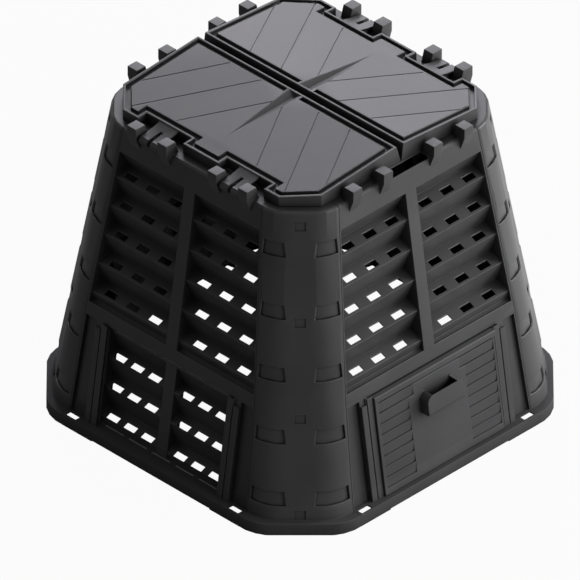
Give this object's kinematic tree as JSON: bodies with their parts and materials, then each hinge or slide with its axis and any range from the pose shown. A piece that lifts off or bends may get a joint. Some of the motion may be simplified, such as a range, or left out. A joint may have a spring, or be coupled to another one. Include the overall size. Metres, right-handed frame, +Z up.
{
  "type": "compost bin with lid",
  "caption": "Tapered square compost bin of louvered panels locked to corner posts, with a two-leaf hinged lid and a sliding hatch door.",
  "frame": {"origin": "Centre of the footprint on the ground, at the middle of the bottom of the bounding box.", "axes": "+Z is up, -Y is the front with the sliding hatch door, and the lid leaves are hinged on the -X and +X sides."},
  "size_m": [0.933, 0.933, 0.8],
  "materials": {
    "bin_plastic": "fine-grained black recycled plastic",
    "post_plastic": "fine-grained black recycled plastic",
    "lid_plastic": "satin black recycled plastic",
    "hatch_plastic": "fine-grained black recycled plastic"
  },
  "bodies": {
    "bin": {"wall_front": "bin_plastic", "wall_left": "bin_plastic", "wall_back": "bin_plastic", "wall_right": "bin_plastic", "corner_post_front_left": "post_plastic", "corner_post_front_right": "post_plastic", "corner_post_back_left": "post_plastic", "corner_post_back_right": "post_plastic"},
    "left_leaf": {"lid_left": "lid_plastic"},
    "right_leaf": {"lid_right": "lid_plastic"},
    "hatch": {"hatch_door": "hatch_plastic"}
  },
  "joints": [
    {"name": "left_lid_hinge", "type": "hinge", "parent": "bin", "child": "left_leaf", "pos_m": [-0.335, 0, 0.757], "axis": [0, -1, 0], "range_deg": [0, 190]},
    {"name": "right_lid_hinge", "type": "hinge", "parent": "bin", "child": "right_leaf", "pos_m": [0.335, 0, 0.757], "axis": [0, 1, 0], "range_deg": [0, 190]},
    {"name": "hatch_slide", "type": "slide", "parent": "bin", "child": "hatch", "axis": [0, 0.1486, 0.9889], "range_m": [0, 0.22]}
  ]
}
